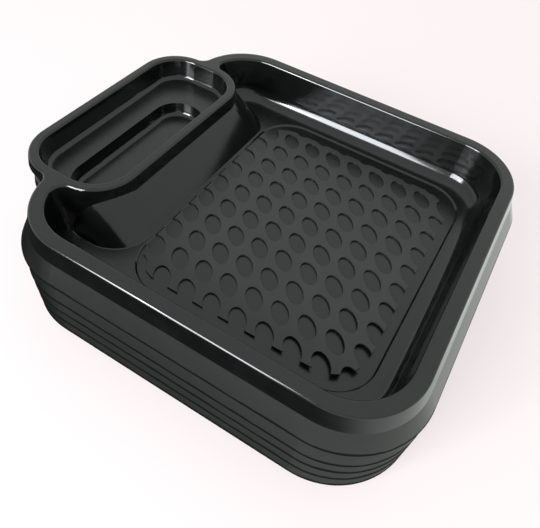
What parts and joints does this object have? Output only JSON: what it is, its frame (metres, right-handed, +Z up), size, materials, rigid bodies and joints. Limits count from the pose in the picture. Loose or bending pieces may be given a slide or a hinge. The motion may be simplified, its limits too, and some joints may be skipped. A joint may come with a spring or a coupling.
{
  "type": "display tray stack",
  "caption": "Nested stack of square display trays, each a glossy moulded shell with a long side dish, a sloping apron beside it, and a separate perforated mat in a shallow recess of the basin floor",
  "frame": {"origin": "on the table, under the middle of the stack's outline", "axes": "+Z up, +X from the side dish towards the far side of the basin, +Y completes the right-handed frame, towards the dish's shallow end"},
  "size_m": [0.3008, 0.2686, 0.0838],
  "materials": {
    "tray": "glossy",
    "mat": "satin"
  },
  "bodies": {
    "tray_1": {"tray_1": "tray", "mat_1": "mat"},
    "tray_2": {"tray_2": "tray", "mat_2": "mat"},
    "tray_3": {"tray_3": "tray", "mat_3": "mat"},
    "tray_4": {"tray_4": "tray", "mat_4": "mat"},
    "tray_5": {"tray_5": "tray"},
    "mat_5": {"mat_5": "mat"}
  },
  "joints": [
    {"name": "tray_2_lift", "type": "slide", "parent": "tray_1", "child": "tray_2", "axis": [0, 0, 1], "range_m": [0, 0.04]},
    {"name": "tray_3_lift", "type": "slide", "parent": "tray_2", "child": "tray_3", "axis": [0, 0, 1], "range_m": [0, 0.04]},
    {"name": "tray_4_lift", "type": "slide", "parent": "tray_3", "child": "tray_4", "axis": [0, 0, 1], "range_m": [0, 0.04]},
    {"name": "tray_5_lift", "type": "slide", "parent": "tray_4", "child": "tray_5", "axis": [0, 0, 1], "range_m": [0, 0.04]},
    {"name": "mat_5_lift", "type": "slide", "parent": "tray_5", "child": "mat_5", "axis": [0, 0, 1], "range_m": [0, 0.045]}
  ]
}
